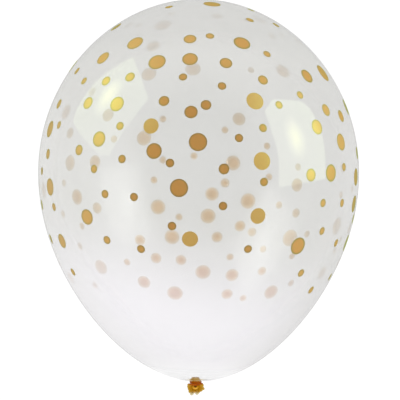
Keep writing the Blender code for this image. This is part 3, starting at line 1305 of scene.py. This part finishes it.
def add_card(name, border, core, strength, inside, surface, studio, sizes):
    """A flat soft box that only reflections show, as the skin shows it in the picture."""
    place, away = thrown_back(core, surface, studio, sizes)
    middle = place + away * studio.card_distance
    turn = (-away).to_track_quat("Z", "Y").to_matrix().to_4x4()
    deselect()
    bpy.ops.mesh.primitive_circle_add(vertices=len(border), fill_type="NGON")
    card = bpy.context.object
    card.name = name
    card.matrix_world = Matrix.Translation(middle) @ turn
    for vert, pixel in zip(card.data.vertices, border):
        place, ray = thrown_back(pixel, surface, studio, sizes)
        corner = intersect_line_plane(place, place + ray, middle, away)
        vert.co = card.matrix_world.inverted() @ corner
    dress(card, make_glow(name + "_glow", strength, inside, studio))
    hide_from(card, "camera", "diffuse", "shadow", "transmission")


def add_floor(studio):
    """A plain pale floor that glows a little, as a light table does."""
    deselect()
    bpy.ops.mesh.primitive_plane_add(size=studio.floor_width, location=(0, 0, 0))
    floor = bpy.context.object
    floor.name = "floor"
    material, tree, shader = new_material(
        "pale_floor",
        Roughness=0.9,
        Specular_IOR_Level=0.0,
        Emission_Color=(1.0, 1.0, 1.0, 1.0),
        Emission_Strength=studio.floor_glow,
    )
    cloud = add_node(tree, "ShaderNodeTexNoise", {"Scale": 3.0, "Detail": 2.0})
    feed(cloud.inputs["Vector"], own_place(tree))
    shade = rise(cloud.outputs["Fac"], (0.3, 0.7))
    feed(shader.inputs["Base Color"], blend(shade, (0.29, 0.29, 0.29), (0.31, 0.31, 0.31)))
    dress(floor, material)
    hide_from(floor, "glossy")


def add_overhead(studio):
    """The large soft light above."""
    bpy.ops.object.light_add(type="AREA", location=(0, 0, studio.lamp_height))
    lamp = bpy.context.object
    lamp.name = "overhead"
    lamp.data.shape = "SQUARE"
    lamp.data.size = studio.lamp_width
    lamp.data.energy = studio.overhead
    hide_from(lamp, "glossy")


def light_room(studio):
    """A pale room that lights evenly, and that reflections show dark where the camera is."""
    world = bpy.data.worlds.new("pale_room")
    world.use_nodes = True
    tree = world.node_tree
    back = tree.nodes["Background"]
    back.inputs["Color"].default_value = (1.0, 1.0, 1.0, 1.0)
    towards = split(add_node(tree, "ShaderNodeTexCoord").outputs["Generated"])
    light = add_node(tree, "ShaderNodeMix", {"A": studio.room_light})
    feed(light.inputs["Factor"], add_node(tree, "ShaderNodeLightPath").outputs["Is Glossy Ray"])
    feed(light.inputs["B"], rise(towards["Z"], (0.0, 1.0), studio.room_side, studio.room_top))
    feed(back.inputs["Strength"], light.outputs["Result"])
    bpy.context.scene.world = world


def add_camera(scene, studio, sizes):
    """The camera, which looks straight down."""
    lens = bpy.data.cameras.new("camera")
    lens.sensor_width = 36.0
    lens.lens = lens.sensor_width * studio.camera_distance / studio.view_width
    camera = bpy.data.objects.new("camera", lens)
    camera.location = camera_place(studio, sizes)
    scene.collection.objects.link(camera)
    scene.camera = camera


class SetStage(bpy.types.Operator):
    """Sets the floor, the lights and the camera"""

    bl_idname = "balloon.set_stage"
    bl_label = "Floor, lights and camera"

    def execute(self, context):
        scene = context.scene
        sizes = scene.balloon_sizes
        studio = scene.studio_sizes
        add_floor(studio)
        add_overhead(studio)
        light_room(studio)
        surface = skin_surface(context)
        for name, border, core, strength, inside in (
            ("left_box", LEFT_BOX, LEFT_CORE, studio.left_card, studio.left_inner),
            ("right_box", RIGHT_BOX, RIGHT_CORE, studio.right_card, studio.right_inner),
        ):
            add_card(name, border, core, strength, inside, surface, studio, sizes)
        add_camera(scene, studio, sizes)
        scene.view_settings.view_transform = "Standard"
        return {"FINISHED"}


class BalloonPanel(bpy.types.Panel):
    """Lists the balloon's sizes, colours and makers in the sidebar"""

    bl_idname = "VIEW3D_PT_confetti_balloon"
    bl_label = "Confetti print balloon"
    bl_space_type = "VIEW_3D"
    bl_region_type = "UI"
    bl_category = "Balloon"

    def draw(self, context):
        scene = context.scene
        for title, group in (
            ("Latex", scene.balloon_sizes),
            ("Print", scene.print_sizes),
            ("Colours", scene.balloon_colours),
            ("Studio", scene.studio_sizes),
        ):
            box = self.layout.box()
            box.label(text=title)
            for key in group.__annotations__:
                box.prop(group, key)
        for maker in MAKERS:
            self.layout.operator(maker.bl_idname)


GROUPS = {
    "balloon_sizes": BalloonSizes,
    "print_sizes": PrintSizes,
    "balloon_colours": BalloonColours,
    "studio_sizes": StudioSizes,
}
MAKERS = (MakeSkin, PrintDots, TieKnot, SetStage)
CLASSES = (*GROUPS.values(), *MAKERS, BalloonPanel)


def register():
    """Registers every class and puts the sizes on the scene."""
    for item in CLASSES:
        bpy.utils.register_class(item)
    for name, group in GROUPS.items():
        setattr(bpy.types.Scene, name, PointerProperty(type=group))


def unregister():
    """Takes back all that register did."""
    for name in GROUPS:
        delattr(bpy.types.Scene, name)
    for item in reversed(CLASSES):
        bpy.utils.unregister_class(item)


def main():
    """Makes every piece in order."""
    register()
    bpy.ops.balloon.make_skin()
    bpy.ops.balloon.print_dots()
    bpy.ops.balloon.tie_knot()
    bpy.ops.balloon.set_stage()


if __name__ == "__main__":
    main()
